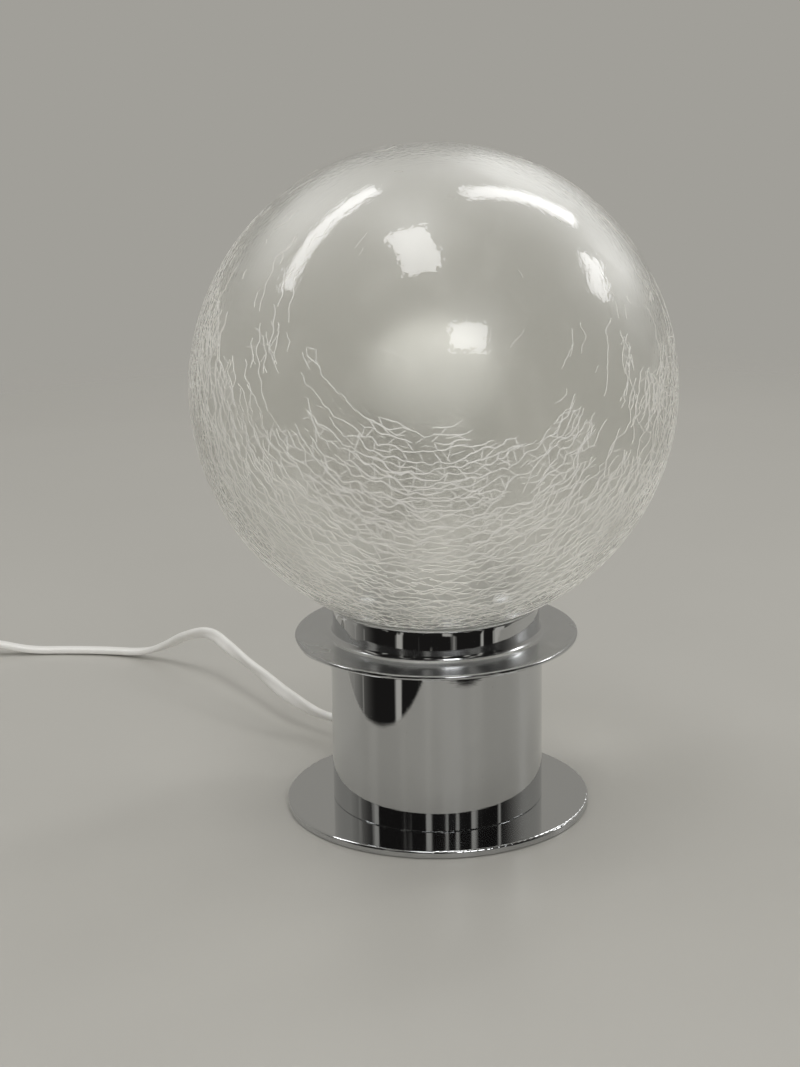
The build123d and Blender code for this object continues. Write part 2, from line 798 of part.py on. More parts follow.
def make_cord_coil():
    """The coiled cord, standing on its edge as a flat lead does when it is wound."""
    line = coil_line()
    across = Plane(line @ 0, x_dir=(0, 1, 0), z_dir=line % 0)
    upright = Pos(0, 0, coil_outer_radius) * line
    solid = sweep(across * SlotOverall(cord_width, cord_thickness, 90), line, binormal=upright)
    print(f"coil: {line.length:.1f} mm long, least gap between turns {least_coil_gap(line):.2f} mm")
    return solid


def make_coil_tie():
    """A thin strap round the turns, flat on the floor under the coil."""
    centre = coil_top_y - coil_outer_radius
    radii = [coil_outer_radius - k * coil_step for k in range(1, coil_half_turns, 2)]
    room = cord_thickness / 2 + tie_strap_gap
    bow = (coil_step + tie_strap_width / 2) ** 2 / (2 * min(radii))  # the turns' bend in the strap
    side = tie_strap_width / 2
    rise = cord_width / 2 + tie_strap_gap
    low = (coil_x + min(radii) - room - bow, centre - side, coil_lower - rise)
    high = (coil_x + max(radii) + room, centre + side, coil_upper + rise)
    wall = (tie_strap, 0, tie_strap)
    outer = block([a - w for a, w in zip(low, wall)], [b + w for b, w in zip(high, wall)])
    outer = fillet(outer.edges().filter_by(Axis.Y), 1.6)
    return outer - fillet(block(low, high).edges().filter_by(Axis.Y), 0.8)


def lead_route(start_x, end_x, y, start_z, end_z):
    """Three runs that pass from one height to another and are level at both ends."""
    run = (end_x - start_x) / 3
    heights = (start_z, start_z, end_z, end_z)
    return [(start_x + run * k, y, height) for k, height in enumerate(heights)]


# In-line switch, built round its own centre and moved to its place


def switch_place():
    return Pos(switch_entry[0] - switch_size[0] / 2, switch_entry[1], 0)


def switch_shape(inset):
    """The housing's outer form, drawn in by a wall."""
    length, width, height = (s - 2 * inset for s in switch_size)
    corner = switch_corner - inset
    body = Pos(0, 0, inset) * extrude(RectangleRounded(length, width, corner), height)
    edge = max(switch_edge - inset, 0.5)
    ends = body.faces().sort_by(Axis.Z)
    return fillet(ends[0].edges() + ends[-1].edges(), edge)


def cord_notch():
    length = switch_size[0]
    return Pos(0, 0, switch_joint_height) * Rot(0, 90, 0) * Cylinder(cord_width / 2, length)


def switch_screw_spots():
    return [Pos(side * switch_screw_distance, side * switch_post_offset, 0) for side in (-1, 1)]


def make_switch_lower():
    """The lower half of the housing, with two screw posts."""
    reach = switch_size[0]
    half = block((-reach, -reach, 0), (reach, reach, switch_joint_height))
    solid = (switch_shape(0) - switch_shape(switch_wall)) & half
    inside = switch_shape(switch_wall) & half
    for spot in switch_screw_spots():
        solid += (spot * disc(switch_post_radius, 0.5, switch_joint_height)) & (inside + solid)
    for spot in switch_screw_spots():
        solid -= spot * disc(switch_screw_radius, 0, switch_joint_height)
        solid -= spot * disc(switch_screw_head_radius + 0.2, 0, switch_screw_head_height)
    return solid - cord_notch()


def make_switch_upper():
    """The upper half of the housing: a window for the rocker, and bosses for its pin and the screws."""
    top = switch_size[2]
    around = switch_size[0]
    half = block((-around, -around, switch_joint_height), (around, around, top))
    shell = (switch_shape(0) - switch_shape(switch_wall)) & half
    pin_axis = Pos(0, 0, rocker_pivot_height) * Rot(90, 0, 0)
    inner_half = rocker_width / 2 + rocker_gap
    boss_length = switch_size[1] / 2 - switch_wall / 2 - inner_half
    for side in (-1, 1):
        middle = Pos(0, side * (inner_half + boss_length / 2), 0)
        shell += middle * pin_axis * Cylinder(rocker_boss_radius, boss_length)
    for spot in switch_screw_spots():
        shell += (spot * disc(switch_post_radius, switch_joint_height, top - 0.5)) & switch_shape(0)
        shell -= spot * disc(switch_screw_radius, switch_joint_height, top - 3.0)
    reach = rocker_radius + rocker_gap
    window = block((-reach, -inner_half, switch_joint_height), (reach, inner_half, top + 1))
    shell -= window
    shell -= pin_axis * Cylinder(rocker_pin_radius, rocker_pin_length())
    return shell - cord_notch()


def rocker_pin_length():
    return rocker_width + 2 * rocker_gap + 5.0


def make_switch_rocker():
    """A round-bottomed rocker, pressed down on one side: its ends are arcs about the pin."""
    width = rocker_width
    half_slope = tan(radians(rocker_tilt)) * rocker_radius
    outline = Circle(rocker_radius) & Polygon(
        (-rocker_radius, -rocker_depth),
        (rocker_radius, -rocker_depth),
        (rocker_radius, rocker_rise - half_slope),
        (0, rocker_rise),
        (-rocker_radius, rocker_rise - half_slope),
        align=None,
    )
    outline -= Circle(rocker_pin_radius + rocker_pin_gap)
    body = extrude(Plane.XZ * outline, width / 2, both=True)
    return Pos(0, 0, rocker_pivot_height) * Rot(0, rocker_tilt, 0) * body


def make_rocker_pin():
    axis = Pos(0, 0, rocker_pivot_height) * Rot(90, 0, 0)
    return axis * Cylinder(rocker_pin_radius, rocker_pin_length())


def make_switch_terminals():
    """Four brass blocks on the housing's floor: each end of each core."""
    length, width, height = switch_terminal
    body = block((-length / 2, -width / 2, switch_wall), (length / 2, width / 2, switch_wall + height))
    ends = (-switch_terminal_distance, switch_terminal_distance)
    return [Pos(x, side * switch_terminal_offset, 0) * body for x in ends for side in (-1, 1)]


def make_switch_leaf():
    """The contact leaf under the rocker, clear of it at both positions."""
    reach = switch_terminal_distance + switch_terminal[0] / 2 - 2
    rocker_low = rocker_pivot_height - rocker_radius * sin(radians(rocker_tilt)) - rocker_depth
    low = rocker_low - leaf_gap - 2 * leaf_sheet
    floor = switch_wall + switch_terminal[2]
    line = FilletPolyline(
        (-reach, 0, floor + leaf_sheet / 2),
        (-reach + 5, 0, floor + leaf_sheet / 2),
        (-6.0, 0, low),
        (6.0, 0, low),
        (reach - 5, 0, floor + leaf_sheet / 2),
        (reach, 0, floor + leaf_sheet / 2),
        radius=[2.0] * 4,
    )
    wide = 2 * switch_terminal_offset
    return sweep(Plane(line @ 0, x_dir=(0, 1, 0), z_dir=line % 0) * Rectangle(wide, leaf_sheet), line)


def make_switch_screws():
    screw = disc(switch_screw_radius, 0.4, switch_size[2] - 4.0)
    screw += disc(switch_screw_head_radius, 0.4, switch_screw_head_height)
    return [spot * screw for spot in switch_screw_spots()]


# Plug


def plug_sections():
    back, face = plug_body_start(), plug_body_start() + plug_length
    for x, size in ((back, plug_back), (back + plug_length * 0.55, plug_waist), (face, plug_face)):
        outline = Plane.YZ * RectangleRounded(size[0], size[1], plug_corner)
        yield Pos(x, coil_bottom_y, plug_height) * outline


def plug_body_start():
    return plug_tail_start + plug_tail_length


def pin_lines():
    face = plug_body_start() + plug_length
    offsets = (-pin_spacing / 2, pin_spacing / 2)
    return [Pos(face, coil_bottom_y + offset, plug_height) * Rot(0, 90, 0) for offset in offsets]


def make_plug_body():
    """The moulded body, wide at the pins and narrow at the cord."""
    solid = loft(list(plug_sections()), ruled=True)
    for line in pin_lines():
        solid -= line * disc(pin_root_radius, -pin_rooted, 0)
    return solid


def make_plug_pins():
    """Round-nosed pins, thinner where the insulating sleeves sit."""
    outline = section(0, pin_root_radius, -pin_rooted, 0) + section(0, pin_neck_radius, 0, pin_sleeve_length)
    outline += section(0, pin_radius, pin_sleeve_length, pin_length)
    pin = turned(rounded(outline, (pin_radius, pin_length), pin_radius * 0.6))
    return [line * pin for line in pin_lines()]


def make_pin_sleeves():
    return [line * ring(pin_neck_radius, pin_sleeve_radius, 0, pin_sleeve_length) for line in pin_lines()]


def make_plug_tail():
    """The tapered, ribbed bend protection behind the plug."""
    outline = tapered(0, plug_tail_length, plug_tail_end_radius, plug_tail_radius)
    pitch = plug_tail_length / (plug_tail_ribs + 1)
    for k in range(plug_tail_ribs):
        height = pitch * (k + 0.75)
        edge = plug_tail_end_radius + (plug_tail_radius - plug_tail_end_radius) * height / plug_tail_length
        outline -= section(edge - plug_rib_depth, edge + 1, height, height + pitch * 0.4)
    return Pos(plug_tail_start, coil_bottom_y, plug_height) * Rot(0, 90, 0) * turned(outline)


def as_part(name, made):
    """One shape for the node: a list of solids becomes a group."""
    shape = Compound(children=list(made)) if isinstance(made, list) else made
    shape.label = name
    return shape


def all_parts():
    """Every node by name. A list is a group of separate, alike pieces."""
    parts = {
        "felt_pad": make_felt_pad(),
        "base_disc": make_base_disc(),
        "base_weight": make_base_weight(),
        "base_screws": make_base_screws(),
        "body_tube": make_body_tube(),
        "gallery_collar": make_gallery_collar(),
        "bridge_plate": make_bridge_plate(),
        "tie_tube": make_tie_tube(),
        "tie_washer": make_tie_washer(),
        "tie_nut": make_tie_nut(),
        "glass_globe": make_glass_globe(),
        "clip_rivets": make_clip_rivets(),
        "holder_dome": make_holder_dome(),
        "holder_grub_screw": make_grub_screw(),
        "holder_sleeve": make_holder_sleeve(),
        "holder_insert": make_holder_insert(),
        "thread_shell": make_thread_shell(),
        "centre_contact": make_centre_contact(),
        "terminal_blocks": make_terminal_blocks(),
        "terminal_screws": make_terminal_screws(),
        "bulb_glass": make_bulb_glass(),
        "bulb_cap": make_bulb_cap(),
        "bulb_insulator": make_bulb_insulator(),
        "bulb_tip": make_bulb_tip(),
        "bulb_stem": make_bulb_stem(),
        "bulb_filament": make_filament(),
        "cord_sleeve": make_cord_sleeve(),
        "inner_cord": make_inner_cord(),
        "inner_cores": make_inner_cores(),
        "cord_clamp": make_cord_clamp(),
        "clamp_screws": make_clamp_screws(),
        "cord_to_switch": cord_tube("cord to switch", free_route),
        "cord_to_coil": cord_tube("cord to coil", coil_lead()),
        "cord_coil": make_cord_coil(),
        "coil_tie": make_coil_tie(),
        "cord_to_plug": cord_tube("cord to plug", plug_lead()),
        "plug_body": make_plug_body(),
        "plug_tail": make_plug_tail(),
        "plug_pins": make_plug_pins(),
        "plug_pin_sleeves": make_pin_sleeves(),
    }
    for k, angle in enumerate(clip_angles(), start=1):
        parts[f"globe_clip_{k}"] = make_globe_clip(angle)
    switch = {
        "switch_lower": make_switch_lower(),
        "switch_upper": make_switch_upper(),
        "switch_rocker": make_switch_rocker(),
        "rocker_pin": make_rocker_pin(),
        "switch_terminals": make_switch_terminals(),
        "switch_leaf": make_switch_leaf(),
        "switch_screws": make_switch_screws(),
    }
    for name, made in switch.items():
        pieces = made if isinstance(made, list) else [made]
        placed = [switch_place() * piece for piece in pieces]
        parts[name] = placed if isinstance(made, list) else placed[0]
    return parts


def coil_lead():
    start = switch_far_end + switch_cord_grip
    return lead_route(start, coil_x + coil_end_run, coil_top_y, switch_joint_height, coil_lower)


def plug_lead():
    return lead_route(coil_x + coil_end_run, plug_tail_start, coil_bottom_y, coil_upper, plug_height)


os.makedirs("parts", exist_ok=True)
for part_name, part_made in all_parts().items():
    export_step(as_part(part_name, part_made), f"parts/{part_name}.step")
print("globe centre", round(globe_centre, 2), "top", round(globe_centre + globe_radius, 2))
print("bulb tip", round(bulb_tip, 2), "bulb top", round(bulb_tip + bulb_length, 2))
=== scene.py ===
import bmesh
import bpy
import math
import random
from mathutils import Matrix, Vector, noise


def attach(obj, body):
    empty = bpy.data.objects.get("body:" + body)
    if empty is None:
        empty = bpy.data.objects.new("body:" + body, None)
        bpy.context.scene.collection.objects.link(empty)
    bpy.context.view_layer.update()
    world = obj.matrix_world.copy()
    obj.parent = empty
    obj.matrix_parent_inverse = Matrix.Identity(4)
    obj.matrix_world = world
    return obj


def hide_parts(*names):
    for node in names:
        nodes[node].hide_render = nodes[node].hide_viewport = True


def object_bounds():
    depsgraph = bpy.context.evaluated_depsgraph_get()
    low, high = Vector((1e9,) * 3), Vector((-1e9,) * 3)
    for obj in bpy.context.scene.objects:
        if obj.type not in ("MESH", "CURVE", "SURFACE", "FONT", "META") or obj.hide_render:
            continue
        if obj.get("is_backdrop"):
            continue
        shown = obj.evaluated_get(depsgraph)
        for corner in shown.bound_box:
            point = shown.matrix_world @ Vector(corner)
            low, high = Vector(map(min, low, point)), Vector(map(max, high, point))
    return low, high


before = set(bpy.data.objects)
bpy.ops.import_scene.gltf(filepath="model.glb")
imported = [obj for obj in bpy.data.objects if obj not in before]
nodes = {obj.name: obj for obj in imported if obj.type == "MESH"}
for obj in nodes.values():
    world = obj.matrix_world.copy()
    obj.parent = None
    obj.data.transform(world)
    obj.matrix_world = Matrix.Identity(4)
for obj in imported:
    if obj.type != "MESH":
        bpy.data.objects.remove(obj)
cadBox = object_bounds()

mm = 0.001
print("frame loaded:", len(nodes), "nodes")


# Camera: where it stood for the photograph, as measured on the lamp

camera = {
    "place": (0.0, -0.908865, 0.3795025),
    "forward": (-0.0154935, 0.96125705, -0.27521779),
    "up": (0.01099209, 0.27539794, 0.96126747),
    "lens": 76.0155,  # on a 36 mm sensor
}


def placeCamera():
    forward, up = Vector(camera["forward"]), Vector(camera["up"])
    turn = Matrix((forward.cross(up), up, -forward)).transposed()
    data = bpy.data.cameras.new("lampCamera")
    data.sensor_width, data.lens = 36, camera["lens"]
    made = bpy.data.objects.new("lampCamera", data)
    made.matrix_world = Matrix.Translation(camera["place"]) @ turn.to_4x4()
    bpy.context.scene.collection.objects.link(made)
    bpy.context.scene.camera = made


placeCamera()
print("camera placed")


# Meshes


def addMesh(name, points, faces, smooth=True):
    mesh = bpy.data.meshes.new(name)
    mesh.from_pydata(points, [], faces)
    mesh.validate()
    if smooth:
        mesh.polygons.foreach_set("use_smooth", [True] * len(mesh.polygons))
    made = bpy.data.objects.new(name, mesh)
    bpy.context.scene.collection.objects.link(made)
    return made


def ringFaces(rings, around, closed=False):
    # quads between neighbouring rings of points
    faces = []
    for k in range(rings if closed else rings - 1):
        low, high = k * around, (k + 1) % rings * around
        for i in range(around):
            j = (i + 1) % around
            faces.append((low + i, low + j, high + j, high + i))
    return faces


def arc(centre, radius, start, end, steps):
    # points in radius and height on a round edge, in mm; angles in degrees
    angles = [math.radians(start + (end - start) * k / steps) for k in range(steps + 1)]
    return [(centre[0] + radius * math.cos(a), centre[1] + radius * math.sin(a)) for a in angles]


def spunMesh(name, outline, around):
    # a closed outline in radius and height, in mm, turned round the lamp's axis
    points = []
    for radius, height in outline:
        for i in range(around):
            a = 2 * math.pi * i / around
            points.append((radius * math.cos(a) * mm, radius * math.sin(a) * mm, height * mm))
    return addMesh(name, points, ringFaces(len(outline), around, closed=True))


# Gallery: a spun hat of thin sheet, with a hemmed brim and a rolled rim

gallery = {
    "collarRadius": 43.8,
    "collarBore": 42.8,
    "brimUnder": 75.4,
    "brimTop": 76.8,
    "hemRadius": 1.0,
    "hemCircle": 59.0,
    "fillet": 3.0,
    "beadRadius": 0.9,
    "beadHeight": 89.3,
    # an old knock bent the brim's edge here; it stays flat for the stiff part beside the collar
    "knock": {"angle": 203.0, "spread": 9.0, "down": 1.8, "inward": 1.3, "stiff": 8},
}


def galleryOutline():
    # once round the sheet: underside, hem, top, corner, collar, bead, bore
    under, top = gallery["brimUnder"], gallery["brimTop"]
    hem, bead = gallery["hemRadius"], gallery["beadRadius"]
    collar, bore, fillet = gallery["collarRadius"], gallery["collarBore"], gallery["fillet"]
    hemHeight, beadCircle = top - hem, collar - bead
    hemStart = 180 + math.degrees(math.asin((hemHeight - under) / hem))
    beadEnd = 180 + math.degrees(math.acos((beadCircle - bore) / bead))
    outline = [(bore + 0.5 + (gallery["hemCircle"] - bore - 2) * k / 10, under) for k in range(11)]
    outline += arc((gallery["hemCircle"], hemHeight), hem, hemStart, 450, 14)
    outline += [(gallery["hemCircle"] - (gallery["hemCircle"] - collar - fillet - 0.5) * k / 9,
                 top) for k in range(1, 10)]
    outline += arc((collar + fillet, top + fillet), fillet, 270, 180, 12)
    outline += [(collar, top + fillet + 2 + 2 * k) for k in range(4)]
    outline += arc((beadCircle, gallery["beadHeight"]), bead, 0, beadEnd, 16)
    outline += [(bore, gallery["beadHeight"] - 2 - 2 * k) for k in range(6)]
    return outline + [(bore, under + 0.5), (bore + 0.15, under + 0.15)]


def knockBrim(made):
    knock = gallery["knock"]
    for vertex in made.data.vertices:
        x, y, z = vertex.co
        reach = math.hypot(x, y) / mm
        soft = gallery["hemCircle"] + 1 - gallery["collarRadius"] - knock["stiff"]
        share = max(0.0, reach - gallery["collarRadius"] - knock["stiff"]) / soft
        turn = (math.degrees(math.atan2(y, x)) - knock["angle"] + 180) % 360 - 180
        amount = share * share * math.exp(-((turn / knock["spread"]) ** 2))
        shrink = 1 - knock["inward"] * amount / reach if amount else 1
        vertex.co = (x * shrink, y * shrink, z - knock["down"] * amount * mm)


spunGallery = spunMesh("spunGallery", galleryOutline(), 288)
knockBrim(spunGallery)
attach(spunGallery, "base")
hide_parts("gallery_collar")
print("gallery spun")


# Cord: two free stretches on one lead, with the switch between them

cord = {
    "width": 5.8,
    "thickness": 3.4,
    "exit": (-35.2927, 56.4801, 10.0),
    "toSwitch": [
        (-35.2927, 56.4801, 10.0),
        (-42.7115, 68.3527, 10.0),
        (-56.0, 77.5, 10.5),
        (-71.5, 93.0, 14.5),
        (-86.0, 116.0, 18.5),
        (-101.0, 139.0, 21.5),
        (-112.0, 156.0, 25.0),
        (-126.0, 169.5, 19.0),
        (-137.5, 181.0, 9.5),
        (-151.0, 190.0, 2.6),
        (-170.0, 196.0, 1.9),
        (-192.0, 198.0, 1.8),
        (-211.0, 197.5, 1.8),
        (-232.0, 197.0, 7.0),
        (-252.0, 197.0, 7.0),
    ],
    # how the flat side turns along the way: share of the length, degrees from lying flat
    "twist": [(0, 90), (0.07, 140), (0.19, 63), (0.3, 110), (0.4, 63), (0.52, 150), (0.66, 180), (1, 180)],
}
coil = {
    "switchEnd": -298.0,
    "middleX": -341.0,
    "topY": 197.0,
    "radius": 38.0,
    "halfTurns": 6,  # in each layer
    "step": 2.05,  # each half turn is this much smaller
    "lowerZ": 4.1,
    "upperZ": 10.6,
    "endRun": 6.0,
    "pointsPerHalfTurn": 8,
    "plugStart": -300.5,
    "plugZ": 6.85,
    "twist": [(0, 0), (0.022, 90), (0.977, 90), (1, 0)],
}


def splinePoints(route, resolution):
    # points on the smooth line that the route's points steer, in metres
    curve = bpy.data.curves.new("route", "CURVE")
    curve.dimensions = "3D"
    spline = curve.splines.new("NURBS")
    spline.points.add(len(route) - 1)
    for point, place in zip(spline.points, route):
        point.co = (*(c * mm for c in place), 1)
    spline.order_u = 3
    spline.use_endpoint_u = True
    spline.resolution_u = resolution
    carrier = bpy.data.objects.new("route", curve)
    mesh = bpy.data.meshes.new_from_object(carrier)
    line = [v.co.copy() for v in mesh.vertices]
    bpy.data.objects.remove(carrier)
    bpy.data.curves.remove(curve)
    return line


def cordSection():
    # flat twin lead: two round sides and a faint valley between the cores
    half, bulge = cord["width"] / 2, cord["thickness"] / 2
    points = []
    for k in range(36):
        a = 2 * math.pi * k / 36
        x = half * math.copysign(abs(math.cos(a)) ** 0.8, math.cos(a))
        y = bulge * math.copysign(abs(math.sin(a)) ** 0.62, math.sin(a))
        valley = 0.16 * math.exp(-((x / 0.7) ** 2))
        points.append((x, y - math.copysign(valley, y)))
    return points


def atShare(table, share):
    for (a, low), (b, high) in zip(table, table[1:]):
        if share <= b:
            t = (share - a) / (b - a)
            return low + (high - low) * t * t * (3 - 2 * t)
    return table[-1][1]


def cordMesh(name, line, twist):
    section = cordSection()
    reach = [0.0]
    for a, b in zip(line, line[1:]):
        reach.append(reach[-1] + (b - a).length)
    points = []
    for k, here in enumerate(line):
        way = (line[min(k + 1, len(line) - 1)] - line[max(k - 1, 0)]).normalized()
        side = way.cross(Vector((0, 0, 1))).normalized()
        top = side.cross(way)
        a = math.radians(atShare(twist, reach[k] / reach[-1]))
        wide, thin = side * math.cos(a) + top * math.sin(a), top * math.cos(a) - side * math.sin(a)
        points += [here + (wide * x + thin * y) * mm for x, y in section]
    around, last = len(section), len(points) - len(section)
    faces = ringFaces(len(line), around)
    faces += [tuple(reversed(range(around))), tuple(range(last, last + around))]
    return addMesh(name, points, faces), reach[-1]


def coilRoute():
    # from the switch, round the coil from its outside in and back out, and on to the plug
    x, y, side = coil["middleX"], coil["topY"], 1
    start = coil["switchEnd"]
    run = (x + coil["endRun"] - start) / 3
    heights = (7.0, 7.0, coil["lowerZ"], coil["lowerZ"])
    route = [(start + run * k, y, z) for k, z in enumerate(heights)]
    turns = list(range(coil["halfTurns"] + 1))
    turns += turns[-2::-1]
    steps = coil["pointsPerHalfTurn"]
    spread = 1 / (0.75 + 0.25 * math.cos(math.pi / steps))  # the line runs inside its points
    for count, k in enumerate(turns):
        radius = coil["radius"] - k * coil["step"]
        for i in range(steps):
            share = (i + 0.5) / steps
            a = math.radians(180 * share)
            lift = share * share * (3 - 2 * share) if k == coil["halfTurns"] else count > coil["halfTurns"]
            z = coil["lowerZ"] + (coil["upperZ"] - coil["lowerZ"]) * lift
            reach = radius * spread
            route.append((x - side * reach * math.sin(a), y - side * (radius - reach * math.cos(a)), z))
        y -= side * 2 * radius
        side = -side
    end, run = coil["plugStart"], (coil["plugStart"] - x - coil["endRun"]) / 3
    heights = (coil["upperZ"], coil["upperZ"], coil["plugZ"], coil["plugZ"])
    return route + [(x + coil["endRun"] + run * k, y, z) for k, z in enumerate(heights)]


freeLine = splinePoints(cord["toSwitch"], 12)
freeCord, freeLength = cordMesh("freeCord", freeLine, cord["twist"])
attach(freeCord, "base")
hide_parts("cord_to_switch")

coilLine = splinePoints(coilRoute(), 8)
coilCord, coilLength = cordMesh("coiledCord", coilLine, coil["twist"])
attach(coilCord, "base")
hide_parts("cord_to_coil", "cord_coil", "cord_to_plug")
print("cords:", round(freeLength, 4), "m to the switch,", round(coilLength, 4), "m on to the plug")


# Materials


def linear(colour, alpha=1.0):
    # an sRGB hex colour as the linear values that the shader takes
    parts = [int(colour[k:k + 2], 16) / 255 for k in (1, 3, 5)]
    return (*(c / 12.92 if c <= 0.04045 else ((c + 0.055) / 1.055) ** 2.4 for c in parts), alpha)


def addNode(material, kind, settings={}, links={}):
    # adds a node: settings name its own values or its sockets, links name what feeds a socket
    node = material.node_tree.nodes.new(kind)
    for name, value in settings.items():
        if isinstance(name, str) and hasattr(node, name):
            setattr(node, name, value)
        else:
            node.inputs[name].default_value = value
    for name, source in links.items():
        material.node_tree.links.new(source, node.inputs[name])
    return node


def newMaterial(name):
    material = bpy.data.materials.new(name)
    material.use_nodes = True
    material.node_tree.nodes.clear()
    return material


def finish(name, colour, other, metallic=0.0, roughness=0.4, spread=0.05, grain=1.0, depth=0.02, **sockets):
    # a finish with two close colours, uneven gloss and a grain; grain and depth in mm
    material = newMaterial(name)
    place = addNode(material, "ShaderNodeTexCoord").outputs["Object"]
    cloud = addNode(material, "ShaderNodeTexNoise", {"Scale": 0.25 / (grain * mm), "Detail": 4.0},
                    {"Vector": place})
    fine = addNode(material, "ShaderNodeTexNoise", {"Scale": 1 / (grain * mm), "Detail": 3.0},
                   {"Vector": place})
    tint = addNode(material, "ShaderNodeMix", {"data_type": "RGBA", 6: linear(colour), 7: linear(other)},
                   {0: cloud.outputs["Fac"]})
    gloss = addNode(material, "ShaderNodeMapRange",
                    {"To Min": roughness - spread, "To Max": roughness + spread},
                    {"Value": fine.outputs["Fac"]})
    bump = addNode(material, "ShaderNodeBump", {"Strength": 0.6, "Distance": depth * mm},
                   {"Height": fine.outputs["Fac"]})
    surface = addNode(material, "ShaderNodeBsdfPrincipled", {"Metallic": metallic, **sockets},
                      {"Base Color": tint.outputs[2], "Roughness": gloss.outputs[0],
                       "Normal": bump.outputs[0]})
    addNode(material, "ShaderNodeOutputMaterial", {}, {"Surface": surface.outputs[0]})
    return material


def chromePlate(name, flatDulling):
    # chrome plate on spun and polished steel: a near mirror with faint turning marks and specks of dust
    values = {"colour": "#C9CACB", "speck": "#8D8D8B", "markPitch": 0.25, "speckPitch": 2.4}
    material = newMaterial(name)
    place = addNode(material, "ShaderNodeTexCoord").outputs["Object"]
    parts = addNode(material, "ShaderNodeSeparateXYZ", {}, {0: place})
    flat = addNode(material, "ShaderNodeCombineXYZ", {}, {0: parts.outputs[0], 1: parts.outputs[1]})
    radius = addNode(material, "ShaderNodeVectorMath", {"operation": "LENGTH"}, {0: flat.outputs[0]})
    turned = addNode(material, "ShaderNodeCombineXYZ", {}, {0: radius.outputs["Value"], 1: parts.outputs[2]})
    marks = addNode(material, "ShaderNodeTexNoise", {"Scale": 1 / (values["markPitch"] * mm), "Detail": 3.0},
                    {"Vector": turned.outputs[0]})
    soft = addNode(material, "ShaderNodeTexNoise", {"Scale": 35.0, "Detail": 2.0}, {"Vector": place})
    dots = addNode(material, "ShaderNodeTexVoronoi", {"Scale": 1 / (values["speckPitch"] * mm)},
                   {"Vector": place})
    speck = addNode(material, "ShaderNodeMapRange",
                    {"From Min": 0.05, "From Max": 0.09, "To Min": 1.0, "To Max": 0.0},
                    {"Value": dots.outputs["Distance"]})
    some = addNode(material, "ShaderNodeMath", {"operation": "GREATER_THAN", 1: 0.8},
                   {0: dots.outputs["Color"]})
    dust = addNode(material, "ShaderNodeMath", {"operation": "MULTIPLY"},
                   {0: speck.outputs[0], 1: some.outputs[0]})
    tint = addNode(material, "ShaderNodeMix",
                   {"data_type": "RGBA", 6: linear(values["colour"]), 7: linear(values["speck"])},
                   {0: dust.outputs[0]})
    # flat faces are wiped and set down on, so they are a little duller than the upright ones
    facing = addNode(material, "ShaderNodeSeparateXYZ", {},
                     {0: addNode(material, "ShaderNodeNewGeometry").outputs["Normal"]})
    flatness = addNode(material, "ShaderNodeMapRange",
                       {"From Min": 0.1, "From Max": 0.9, "To Max": flatDulling},
                       {"Value": facing.outputs[2]})
    sheen = addNode(material, "ShaderNodeMath", {"operation": "MULTIPLY_ADD", 1: 0.05},
                    {0: soft.outputs["Fac"], 2: flatness.outputs[0]})
    gloss = addNode(material, "ShaderNodeMath", {"operation": "MULTIPLY_ADD", 1: 0.3},
                    {0: dust.outputs[0], 2: sheen.outputs[0]})
    bump = addNode(material, "ShaderNodeBump", {"Strength": 0.12, "Distance": 0.02 * mm},
                   {"Height": marks.outputs["Fac"]})
    surface = addNode(material, "ShaderNodeBsdfPrincipled", {"Metallic": 1.0},
                      {"Base Color": tint.outputs[2], "Roughness": gloss.outputs[0],
                       "Normal": bump.outputs[0]})
    addNode(material, "ShaderNodeOutputMaterial", {}, {"Surface": surface.outputs[0]})
    return material


# upright chrome is a near mirror; the gallery, handled when the globe goes on, is a little duller
chrome = chromePlate("polishedChromePlate", 0.06)
wipedChrome = chromePlate("wipedChromePlate", 0.24)
# pressed wool felt: black, matt and fuzzy at its edge
felt = finish("pressedWoolFelt", "#20211F", "#2E2E2B", roughness=0.95, grain=0.5, depth=0.25,
              **{"Sheen Weight": 0.4})
# sand-cast iron: dark grey, coarse and dull
castIron = finish("sandCastIron", "#3A3A3B", "#4B4743", metallic=0.7, roughness=0.62, grain=0.7, depth=0.12)
# zinc-plated steel: cool grey with a soft shine
zincSteel = finish("zincPlatedSteel", "#B9BABA", "#A6A8AB", metallic=1.0, roughness=0.3, grain=1.2,
                   depth=0.01)
# stamped brass: warm yellow with a fairly sharp shine
brass = finish("stampedBrass", "#C9A45C", "#B48C46", metallic=1.0, roughness=0.28, grain=1.0, depth=0.01)
# glazed porcelain: warm white under a wet-looking gloss
porcelain = finish("glazedPorcelain", "#E9E6DE", "#E1DCD0", roughness=0.18, grain=2.0, depth=0.02,
                   **{"Coat Weight": 0.4})
# moulded bakelite: brown-black with a soft gloss
bakelite = finish("mouldedBakelite", "#1D1B19", "#28231F", roughness=0.27, grain=1.5, depth=0.01)
# rolled aluminium: pale grey metal, slightly brushed
aluminium = finish("rolledAluminium", "#C8C8C5", "#B9BAB8", metallic=1.0, roughness=0.32, grain=0.8,
                   depth=0.01)
# tin solder: dull grey metal with a lumpy skin
solder = finish("tinSolder", "#9FA0A0", "#8B8C8D", metallic=1.0, roughness=0.38, grain=0.6, depth=0.03)
# fused glass: blue-black and glossy
darkGlass = finish("fusedDarkGlass", "#15151A", "#1F1E26", roughness=0.12, grain=1.5, depth=0.02)
# drawn clear glass: nearly invisible but for its edges
clearGlass = finish("drawnClearGlass", "#E6EBE8", "#DFE6E2", roughness=0.06, spread=0.02, grain=2.0,
                    depth=0.01,
                    **{"Transmission Weight": 0.9, "IOR": 1.52})
